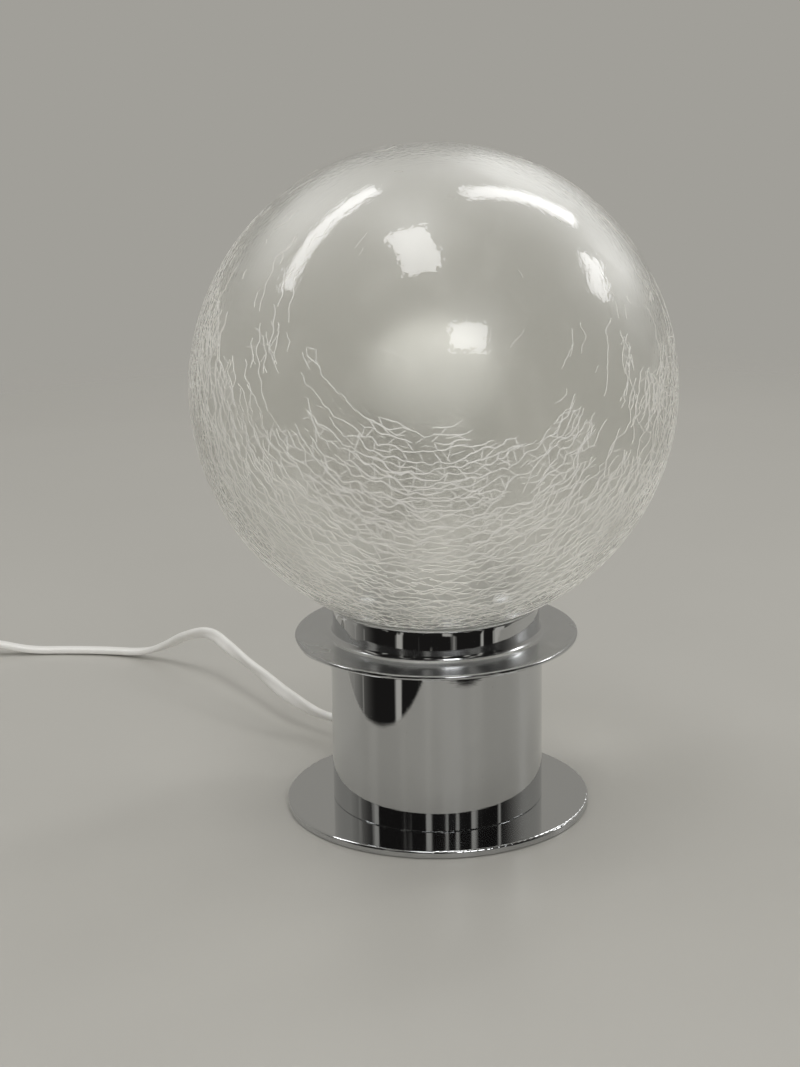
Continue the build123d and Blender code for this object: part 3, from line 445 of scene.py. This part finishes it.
# acid-frosted glass: an even white that glows a little at its edge
frostedBulb = finish("acidFrostedBulbGlass", "#F4F3EE", "#EFEEE8", roughness=0.45, grain=0.8, depth=0.01,
                     **{"Transmission Weight": 0.25, "IOR": 1.5})
# extruded soft PVC: off-white with a faint, broad sheen
softPvc = finish("extrudedSoftPvc", "#F0EFEC", "#E7E5E0", roughness=0.42, grain=1.4, depth=0.015,
                 **{"Coat Weight": 0.08})
# moulded ABS: off-white with a fine spark-eroded grain
whiteAbs = finish("mouldedWhiteAbs", "#E9E8E3", "#E2E0DA", roughness=0.3, grain=0.9, depth=0.012)
# sleeved copper cores: brown, with little shine
copperCore = finish("sleevedCopperCore", "#8A4B2B", "#6F3A20", roughness=0.4, grain=1.0, depth=0.01)
# soft strap: black and matt
tieStrap = finish("softTieStrap", "#1E1F20", "#2B2B2A", roughness=0.6, grain=0.5, depth=0.05)
print("plain materials made")

nodeFinish = {
    "felt_pad": felt, "base_disc": chrome, "base_weight": castIron, "base_screws": zincSteel,
    "body_tube": chrome,
    "gallery_collar": chrome, "bridge_plate": zincSteel, "tie_tube": zincSteel, "tie_washer": zincSteel,
    "tie_nut": zincSteel,
    "clip_rivets": zincSteel, "globe_clip_1": zincSteel, "globe_clip_2": zincSteel, "globe_clip_3": zincSteel,
    "holder_dome": whiteAbs, "holder_grub_screw": zincSteel, "holder_sleeve": whiteAbs,
    "holder_insert": porcelain,
    "thread_shell": brass, "centre_contact": brass, "terminal_blocks": brass, "terminal_screws": zincSteel,
    "bulb_glass": frostedBulb, "bulb_cap": aluminium, "bulb_insulator": darkGlass, "bulb_tip": solder,
    "bulb_stem": clearGlass, "bulb_filament": zincSteel, "cord_sleeve": softPvc, "inner_cord": softPvc,
    "inner_cores": copperCore, "cord_clamp": zincSteel, "clamp_screws": zincSteel, "coil_tie": tieStrap,
    "plug_body": whiteAbs, "plug_tail": softPvc, "plug_pins": zincSteel, "plug_pin_sleeves": bakelite,
    "switch_lower": whiteAbs, "switch_upper": whiteAbs, "switch_rocker": whiteAbs, "rocker_pin": zincSteel,
    "switch_terminals": brass, "switch_leaf": brass, "switch_screws": zincSteel,
}
for name, material in nodeFinish.items():
    nodes[name].data.materials.clear()
    nodes[name].data.materials.append(material)
for made in (freeCord, coilCord):
    made.data.materials.append(softPvc)
spunGallery.data.materials.append(wipedChrome)


# Globe: blown crackle glass

globe = {
    "centre": 181.51,
    "radius": 100.5,
    "wall": 3.0,
    "neckRadius": 39.0,
    "neckBottom": 80.0,
    "neckFillet": 2.0,
    "ripple": 0.10,  # how uneven the blown surface is, in mm
    "ripplePitch": 22.0,
    "inset": 0.75,  # share of the ripple by which the skin lies in, so that the cracks just break it
    "evenNeck": 12,  # above the neck's end, in mm, without ripple
    "poleAngle": 89.6,
    "around": 384,
    "frontAxis": (0.0, -0.8, 0.6),  # the fine ripple runs round this line
}


def globeOutline():
    # outside from the top down to the neck's end, then inside back up; in mm
    centre, radius, neck, fillet = globe["centre"], globe["radius"], globe["neckRadius"], globe["neckFillet"]
    wall, bottom, lip = globe["wall"], globe["neckBottom"], globe["wall"] / 3
    meet = math.degrees(math.asin((neck + fillet) / (radius + fillet)))
    outside = arc((0, centre), radius, globe["poleAngle"], meet - 90, 190)
    bend = (neck + fillet, centre - (radius + fillet) * math.cos(math.radians(meet)))
    outside += arc(bend, fillet, 90 + meet, 180, 6)[1:]
    outside += [(neck, bottom + lip + 3), *arc((neck - lip, bottom + lip), lip, 0, -90, 4)]
    bore, inner = neck - wall, radius - wall
    joint = math.degrees(math.asin(bore / inner))
    inside = arc((bore + lip, bottom + lip), lip, -90, -180, 4) + [(bore, bottom + lip + 3)]
    inside += arc((0, centre), inner, joint - 90, globe["poleAngle"], 150)
    return outside, inside


def crackleGlobe():
    outside, inside = globeOutline()
    around = globe["around"]
    points = []
    for part, outline in enumerate((outside, inside)):
        for radius, height in outline:
            for i in range(around):
                a = 2 * math.pi * i / around
                place = Vector((radius * math.cos(a), radius * math.sin(a), height))
                if height > globe["neckBottom"] + globe["evenNeck"]:
                    out = (place - Vector((0, 0, globe["centre"]))).normalized()
                    rise = noise.noise(place / globe["ripplePitch"] + Vector((7, 3, part * 40)))
                    place += out * (rise - globe["inset"]) * globe["ripple"]
                points.append(place * mm)
    faces = ringFaces(len(outside) + len(inside), around)
    top = globe["centre"] + globe["radius"]
    tops = [(0, 0, top * mm), (0, 0, (top - globe["wall"]) * mm)]
    first, last = len(points), len(points) + 1
    end = (len(outside) + len(inside) - 1) * around
    points += [Vector(t) - Vector((0, 0, 0.0001)) for t in tops]
    for i in range(around):
        j = (i + 1) % around
        faces.append((first, j, i))
        faces.append((last, end + i, end + j))
    made = addMesh("glassGlobe", points, faces)
    outer = len(outside) * around
    slots = [0 if max(p.vertices) < outer or first in p.vertices else 1 for p in made.data.polygons]
    made.data.polygons.foreach_set("material_index", slots)
    mesh = bmesh.new()
    mesh.from_mesh(made.data)
    bmesh.ops.recalc_face_normals(mesh, faces=mesh.faces)
    mesh.to_mesh(made.data)
    mesh.free()
    return made


# Cracks: thin wedges in the glass, whose open side just breaks its skin so that it catches the light

cracks = {
    "under": 0.02,  # mm from the globe's full radius to the open side of a crack
    "deep": 0.5,
    "width": 0.5,  # a little wider than the real ones, so that they show
    "pitch": 3.3,  # between neighbouring long cracks
    "step": 1.8,
    "sway": 4.0,
    "swayPitch": 12.0,
    "jag": 4.2,
    "jagPitch": 5.6,
    "linkEvery": 5.0,
    # the planes of the long cracks meet in a line over the globe: y and z in globe radii
    "hinge": (-0.061, 1.585),
    "smoothAxis": Vector((0.12, -0.35, 0.929)),  # the skin stays smooth round this line
    "neckStart": -0.895,  # no crack below this height, in globe radii
    "firstPlane": -0.6,  # angles of the first and last long crack, from the front over the bottom to the back
    "lastPlane": 3.82,
    "noneAbove": 0.58,  # heights along the smooth axis, in globe radii
    "fade": 0.36,
    "most": 1.15,
    "strayBelow": 0.74,
    "stray": 0.22,
    "tongue": 0.3,  # how far the upper border wanders
    "tonguePitch": 21,
    "longPatch": 34,  # how long the unbroken stretches are, in mm
    "finePatch": 9,
    "fineShare": 0.62,
    "fineWidth": 0.75,
    "smallJag": 0.35,  # share of the jag, and how many times finer it is
    "smallJagTimes": 2.6,
    "alongJag": 0.4,
    "linkLean": 4.5,
    "seed": 7,
}


def crackledShare(spot, slow):
    # all of the skin low down, some in tongues further up, hardly any on top
    up = spot.dot(cracks["smoothAxis"]) + cracks["tongue"] * slow
    low = min(cracks["most"], (cracks["noneAbove"] - up) / cracks["fade"])
    return max(low, cracks["stray"] if up < cracks["strayBelow"] else 0.0)


def crackPlane(t):
    # the plane through the hinge line and the point at angle t on the way front, bottom, back
    hinge = Vector((0, *cracks["hinge"]))
    way = (Vector((0, -math.cos(t), -math.sin(t))) - hinge).normalized()
    across = Vector((0, way.z, -way.y))
    height = across.dot(hinge)
    return across, across * height, math.sqrt(max(0.0, 1 - height * height))


def crackSpot(plane, turn, line):
    across, centre, radius = plane
    right = Vector((1, 0, 0))
    spot = centre + radius * (math.cos(turn) * right + math.sin(turn) * across.cross(right))
    at = spot * globe["radius"]
    side = cracks["sway"] * noise.noise(at / cracks["swayPitch"] + Vector((3.7 * line, 0, 11)))
    jag, fine = at / cracks["jagPitch"], at / cracks["jagPitch"] * cracks["smallJagTimes"]
    side += cracks["jag"] * noise.noise(jag + Vector((0, 5.3 * line, 0)))
    side += cracks["smallJag"] * cracks["jag"] * noise.noise(fine + Vector((0, 5.3 * line, 30)))
    along = cracks["alongJag"] * cracks["jag"] * noise.noise(jag + Vector((0, 0, 9.1 * line)))
    return (at + side * across + along * spot.cross(across)).normalized()


def crackRuns():
    # long cracks side by side, shorter and thinner ones between them, and links across
    dice = random.Random(cracks["seed"])
    runs, t, line, size = [], cracks["firstPlane"], 0, globe["radius"]
    while t < cracks["lastPlane"]:
        plane = crackPlane(t)
        steps = int(2 * math.pi * plane[2] * size / cracks["step"])
        long = line % 2 == 0
        run, untilLink = [], 0
        for k in range(steps + 1):
            turn = 2 * math.pi * k / max(1, steps)
            spot = crackSpot(plane, turn, line)
            at = spot * size
            slow = noise.noise(at / cracks["tonguePitch"] + Vector((0, 0, 40)))
            share = crackledShare(spot, slow)
            patch = cracks["longPatch"] if long else cracks["finePatch"]
            luck = 0.5 + 0.75 * noise.noise(at / patch + Vector((0, 2.1 * line, 70)))
            if spot.z > cracks["neckStart"] and luck < (share if long else cracks["fineShare"] * share):
                wide = cracks["width"] * (1 if long else cracks["fineWidth"])
                run.append((spot, wide * dice.uniform(0.75, 1.15) * (0.5 + 0.5 * min(1, share))))
                untilLink -= cracks["step"]
                if long and share > 0.5 and untilLink < 0:
                    lean = dice.uniform(-cracks["linkLean"], cracks["linkLean"]) / size / max(plane[2], 0.1)
                    end = crackSpot(crackPlane(t + cracks["pitch"] / size), turn + lean, line + 2)
                    ways = [spot.lerp(end, part).normalized() for part in (0, 0.35, 0.7, 1)]
                    thin = cracks["width"] * dice.uniform(0.7, 1.0)
                    if end.z > cracks["neckStart"]:
                        runs.append([(way, thin) for way in ways])
                    untilLink = cracks["linkEvery"] * dice.uniform(0.4, 1.6)
            else:
                if len(run) > 2:
                    runs.append(run)
                run = []
        if len(run) > 2:
            runs.append(run)
        t += 0.5 * cracks["pitch"] / size
        line += 1
    return runs


def crackMesh():
    centre, outer = Vector((0, 0, globe["centre"])), globe["radius"] - cracks["under"]
    points, faces = [], []
    for run in crackRuns():
        first = len(points)
        for k, (spot, width) in enumerate(run):
            way = run[min(k + 1, len(run) - 1)][0] - run[max(k - 1, 0)][0]
            half = spot.cross(way).normalized() * width * 0.5 * min(1, (k + 0.3) / 1.5,
                                                                    (len(run) - k - 0.7) / 1.5)
            corners = (spot * outer + half, spot * outer - half, spot * (outer - cracks["deep"]))
            points += [(centre + place) * mm for place in corners]
            if k:
                a = first + 3 * k
                faces += [(a - 3 + i, a - 3 + (i + 1) % 3, a + (i + 1) % 3, a + i) for i in range(3)]
        last = len(points) - 3
        faces += [(first + 2, first + 1, first), (last, last + 1, last + 2)]
    return addMesh("globeCracks", points, faces, smooth=False)


def squeezed(material, vector, cell, flatten):
    # the vector in cells, with the share along the front axis enlarged, so that cells stretch round that axis
    along = addNode(material, "ShaderNodeVectorMath", {"operation": "DOT_PRODUCT", 1: globe["frontAxis"]},
                    {0: vector})
    more = addNode(material, "ShaderNodeMath", {"operation": "MULTIPLY", 1: flatten - 1},
                   {0: along.outputs["Value"]})
    extra = addNode(material, "ShaderNodeVectorMath", {"operation": "SCALE", 0: globe["frontAxis"]},
                    {"Scale": more.outputs[0]})
    total = addNode(material, "ShaderNodeVectorMath", {"operation": "ADD"}, {0: vector, 1: extra.outputs[0]})
    return addNode(material, "ShaderNodeVectorMath", {"operation": "SCALE", "Scale": 1 / (cell * mm)},
                   {0: total.outputs[0]}).outputs[0]


def letLampsThrough(material, surface):
    # glass whose shadow doesn't darken what is behind it
    path = addNode(material, "ShaderNodeLightPath")
    clear = addNode(material, "ShaderNodeBsdfTransparent", {"Color": linear("#FAFAF9")})
    both = addNode(material, "ShaderNodeMixShader", {},
                   {0: path.outputs["Is Shadow Ray"], 1: surface.outputs[0], 2: clear.outputs[0]})
    addNode(material, "ShaderNodeOutputMaterial", {}, {"Surface": both.outputs[0]})


def crackleGlass():
    # blown glass, fire polished: clear gloss, with a fine hairy ripple where the skin shrank
    values = {"glass": "#FBFBF9", "milk": 0.01, "hair": 2.8, "stretch": 3.4, "wave": 4.2}
    material = newMaterial("blownCrackleGlass")
    raw = addNode(material, "ShaderNodeTexCoord").outputs["Object"]
    place = addNode(material, "ShaderNodeVectorMath",
                    {"operation": "SUBTRACT", 1: (0, 0, globe["centre"] * mm)}, {0: raw}).outputs[0]
    hairs = addNode(material, "ShaderNodeTexNoise", {"Scale": 1.0, "Detail": 1.2, "Distortion": 0.4},
                    {"Vector": squeezed(material, place, values["hair"], values["stretch"])})
    wave = addNode(material, "ShaderNodeTexNoise", {"Scale": 1 / (values["wave"] * mm), "Detail": 2.0},
                   {"Vector": place})
    height = addNode(material, "ShaderNodeMath", {"operation": "MULTIPLY_ADD", 1: 0.8},
                     {0: wave.outputs["Fac"], 2: hairs.outputs["Fac"]})
    bump = addNode(material, "ShaderNodeBump", {"Strength": 0.6, "Distance": 0.1 * mm},
                   {"Height": height.outputs[0]})
    surface = addNode(material, "ShaderNodeBsdfPrincipled",
                      {"IOR": 1.52, "Specular IOR Level": 1.0, "Roughness": 0.03,
                       "Transmission Weight": 1 - values["milk"],
                       "Base Color": linear(values["glass"])}, {"Normal": bump.outputs[0]})
    letLampsThrough(material, surface)
    return material


def crackFaces():
    # fresh cracks in glass: rough faces that scatter white light, from in front and from behind
    values = {"line": "#FDFCF9", "dim": "#F6F4EE", "grain": 1.8}
    material = newMaterial("crackedGlassFaces")
    place = addNode(material, "ShaderNodeTexCoord").outputs["Object"]
    grain = addNode(material, "ShaderNodeTexNoise", {"Scale": 1 / (values["grain"] * mm), "Detail": 2.0},
                    {"Vector": place})
    tint = addNode(material, "ShaderNodeMix",
                   {"data_type": "RGBA", 6: linear(values["line"]), 7: linear(values["dim"])},
                   {0: grain.outputs["Fac"]})
    bump = addNode(material, "ShaderNodeBump", {"Strength": 0.5, "Distance": 0.05 * mm},
                   {"Height": grain.outputs["Fac"]})
    lit = addNode(material, "ShaderNodeBsdfPrincipled", {"Roughness": 0.35},
                  {"Base Color": tint.outputs[2], "Normal": bump.outputs[0]})
    through = addNode(material, "ShaderNodeBsdfTranslucent", {}, {"Color": tint.outputs[2]})
    both = addNode(material, "ShaderNodeMixShader", {0: 0.25}, {1: lit.outputs[0], 2: through.outputs[0]})
    addNode(material, "ShaderNodeOutputMaterial", {}, {"Surface": both.outputs[0]})
    return material


def milkyInside():
    # the globe's inner face: softly etched, so the bulb shows only as a pale blur
    values = {"glass": "#FAFAF7", "cloud": "#F4F4F0", "cloudPitch": 25.0, "milk": 0.02}
    material = newMaterial("etchedInnerGlass")
    place = addNode(material, "ShaderNodeTexCoord").outputs["Object"]
    cloud = addNode(material, "ShaderNodeTexNoise",
                    {"Scale": 1 / (values["cloudPitch"] * mm), "Detail": 3.0}, {"Vector": place})
    tint = addNode(material, "ShaderNodeMix",
                   {"data_type": "RGBA", 6: linear(values["glass"]), 7: linear(values["cloud"])},
                   {0: cloud.outputs["Fac"]})
    gloss = addNode(material, "ShaderNodeMapRange", {"To Min": 0.28, "To Max": 0.38},
                    {"Value": cloud.outputs["Fac"]})
    surface = addNode(material, "ShaderNodeBsdfPrincipled",
                      {"IOR": 1.52, "Specular IOR Level": 0.25, "Transmission Weight": 1 - values["milk"]},
                      {"Base Color": tint.outputs[2], "Roughness": gloss.outputs[0]})
    letLampsThrough(material, surface)
    return material


glassGlobe = crackleGlobe()
glassGlobe.data.materials.append(crackleGlass())
glassGlobe.data.materials.append(milkyInside())
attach(glassGlobe, "globe")
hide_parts("glass_globe")
globeCracks = crackMesh()
globeCracks.data.materials.append(crackFaces())
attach(globeCracks, "globe")
print("globe made, with", len(globeCracks.data.polygons), "faces of cracks")


# Floor and light

studio = {
    "floor": "#BDBBB5",
    "floorCloud": "#B6B4AE",
    "floorCloudPitch": 200.0,  # in mm
    "backdrop": "#A19F99",
    "darkRoom": "#1F1E1D",  # what polished metal mirrors in front of the lamp, with paler things in it
    "paleThings": "#B9B7B1",
    "softLight": "#9C9B98",  # what the world gives matt surfaces
    "fadeFrom": (0.0, 0.25, 0.0),  # the floor fades into the backdrop round this point
    "fadeStart": 0.5,
    "fadeEnd": 0.8,
    "brightness": 6.0,
    "lamps": {
        # soft panels, name: (place, length, width, a point that the length runs towards)
        "leftStrip": ((-0.95, 0.45, 1.45), 1.35, 0.2, (-0.35, 0.8, 1.6)),
        "rightStrip": ((0.7, 0.85, 1.55), 1.1, 0.22, (1.0, 1.0, 1.2)),
        "topPanel": ((-0.2, -0.45, 2.0), 0.8, 0.5, (-0.05, -0.9, 1.85)),
        "rightPanel": ((1.5, 0.5, 1.1), 0.5, 0.3, (1.65, 0.3, 1.0)),
        "frontPanel": ((0.5, -1.5, 1.25), 0.4, 0.5, (0.5, -1.6, 1.1)),
    },
    "fill": ((0.2, -2.2, 0.55), 2.4, 1.6, 1.6),  # a soft panel in front: place, length, width, brightness
    # what polished metal mirrors of the floor ends at these two lines
    "tableLeft": ((-0.862, -0.507, 0.0), 0.164),
    "tableFront": ((0.507, -0.862, 0.0), 0.228),
    "aim": (0.0, 0.0, 0.18),
}


def addLamps():
    for name, (place, length, width, along) in studio["lamps"].items():
        data = bpy.data.lights.new(name, "AREA")
        data.shape, data.size, data.size_y = "RECTANGLE", length, width
        data.energy = studio["brightness"] * math.pi * length * width
        out = (Vector(place) - Vector(studio["aim"])).normalized()
        run = Vector(along) - Vector(place)
        run = (run - out * run.dot(out)).normalized()
        turn = Matrix((run, out.cross(run), out)).transposed()
        lamp = bpy.data.objects.new(name, data)
        lamp.matrix_world = Matrix.Translation(place) @ turn.to_4x4()
        lamp.visible_camera, lamp.visible_transmission = False, False
        bpy.context.scene.collection.objects.link(lamp)
    place, length, width, brightness = studio["fill"]
    data = bpy.data.lights.new("frontFill", "AREA")
    data.shape, data.size, data.size_y = "RECTANGLE", length, width
    data.energy = brightness * math.pi * length * width
    fill = bpy.data.objects.new("frontFill", data)
    fill.location = place
    fill.rotation_euler = (Vector(place) - Vector(studio["aim"])).to_track_quat("Z", "Y").to_euler()
    fill.visible_camera = fill.visible_glossy = fill.visible_transmission = False
    bpy.context.scene.collection.objects.link(fill)


def addFloor():
    # a satin floor that fades into the backdrop's colour far from the lamp
    rings = [0.0005, 0.1, 0.4, 0.9, 2.0]
    points = [(r * math.cos(k * math.pi / 32), r * math.sin(k * math.pi / 32),
               -0.00005) for r in rings for k in range(64)]
    floor = addMesh("studioFloor", points, [tuple(range(64)), *ringFaces(len(rings), 64)], smooth=False)
    material = newMaterial("satinFloor")
    place = addNode(material, "ShaderNodeTexCoord").outputs["Object"]
    far = addNode(material, "ShaderNodeVectorMath", {"operation": "DISTANCE", 1: studio["fadeFrom"]},
                  {0: place})
    fade = addNode(material, "ShaderNodeMapRange",
                   {"interpolation_type": "SMOOTHSTEP", "From Min": studio["fadeStart"],
                   "From Max": studio["fadeEnd"]}, {"Value": far.outputs["Value"]})
    cloud = addNode(material, "ShaderNodeTexNoise",
                    {"Scale": 1 / (studio["floorCloudPitch"] * mm), "Detail": 3.0}, {"Vector": place})
    tint = addNode(material, "ShaderNodeMix",
                   {"data_type": "RGBA", 6: linear(studio["floor"]), 7: linear(studio["floorCloud"])},
                   {0: cloud.outputs["Fac"]})
    surface = addNode(material, "ShaderNodeBsdfPrincipled", {"Roughness": 0.28},
                      {"Base Color": tint.outputs[2]})
    clear = addNode(material, "ShaderNodeBsdfTransparent")
    ends = []
    for line, reach in (studio["tableLeft"], studio["tableFront"]):
        side = addNode(material, "ShaderNodeVectorMath", {"operation": "DOT_PRODUCT", 1: line}, {0: place})
        ends.append(addNode(material, "ShaderNodeMapRange", {"From Min": reach, "From Max": reach + 0.003},
                            {"Value": side.outputs["Value"]}))
    outside = addNode(material, "ShaderNodeMath", {"operation": "MAXIMUM"},
                      {0: ends[0].outputs[0], 1: ends[1].outputs[0]})
    path = addNode(material, "ShaderNodeLightPath")
    mirrored = addNode(material, "ShaderNodeMath", {"operation": "SUBTRACT", "use_clamp": True},
                       {0: path.outputs["Is Glossy Ray"], 1: path.outputs["Is Transmission Ray"]})
    cut = addNode(material, "ShaderNodeMath", {"operation": "MULTIPLY"},
                  {0: outside.outputs[0], 1: mirrored.outputs[0]})
    gone = addNode(material, "ShaderNodeMath", {"operation": "MAXIMUM"},
                   {0: fade.outputs[0], 1: cut.outputs[0]})
    both = addNode(material, "ShaderNodeMixShader", {},
                   {0: gone.outputs[0], 1: surface.outputs[0], 2: clear.outputs[0]})
    addNode(material, "ShaderNodeOutputMaterial", {}, {"Surface": both.outputs[0]})
    floor.data.materials.append(material)
    floor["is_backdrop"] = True


def addWorld():
    # pale grey all round; darker in front and to the sides, where polished metal mirrors it
    world = bpy.data.worlds.new("studioWorld")
    world.use_nodes = True
    world.node_tree.nodes.clear()
    way = addNode(world, "ShaderNodeTexCoord").outputs["Generated"]
    parts = addNode(world, "ShaderNodeSeparateXYZ", {}, {0: way})
    front = addNode(world, "ShaderNodeMapRange",
                    {"interpolation_type": "SMOOTHSTEP", "From Min": -0.35, "From Max": 0.45},
                    {"Value": parts.outputs[1]})
    tall = addNode(world, "ShaderNodeVectorMath", {"operation": "MULTIPLY", 1: (1.0, 1.0, 0.4)}, {0: way})
    things = addNode(world, "ShaderNodeTexNoise", {"Scale": 4.5, "Detail": 2.0}, {"Vector": tall.outputs[0]})
    dim = addNode(world, "ShaderNodeMapRange", {"From Min": 0.56, "From Max": 0.62},
                  {"Value": things.outputs["Fac"]})
    dark = addNode(world, "ShaderNodeMix",
                   {"data_type": "RGBA", 6: linear(studio["darkRoom"]), 7: linear(studio["paleThings"])},
                   {0: dim.outputs[0]})
    room = addNode(world, "ShaderNodeMix", {"data_type": "RGBA", 7: linear(studio["backdrop"])},
                   {0: front.outputs[0], 6: dark.outputs[2]})
    path = addNode(world, "ShaderNodeLightPath")
    seen = addNode(world, "ShaderNodeMix", {"data_type": "RGBA", 6: linear(studio["backdrop"])},
                   {0: path.outputs["Is Glossy Ray"], 7: room.outputs[2]})
    light = addNode(world, "ShaderNodeMix", {"data_type": "RGBA", 7: linear(studio["softLight"])},
                    {0: path.outputs["Is Diffuse Ray"], 6: seen.outputs[2]})
    glow = addNode(world, "ShaderNodeBackground", {"Strength": 1.0}, {"Color": light.outputs[2]})
    addNode(world, "ShaderNodeOutputWorld", {}, {"Surface": glow.outputs[0]})
    bpy.context.scene.world = world


addLamps()
addFloor()
addWorld()
bpy.context.scene.view_settings.view_transform = "Standard"
print("floor, lamps and world set")

for name, box in (("cad", cadBox), ("visual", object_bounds())):
    print(name, "box", [[round(c, 5) for c in corner] for corner in box])
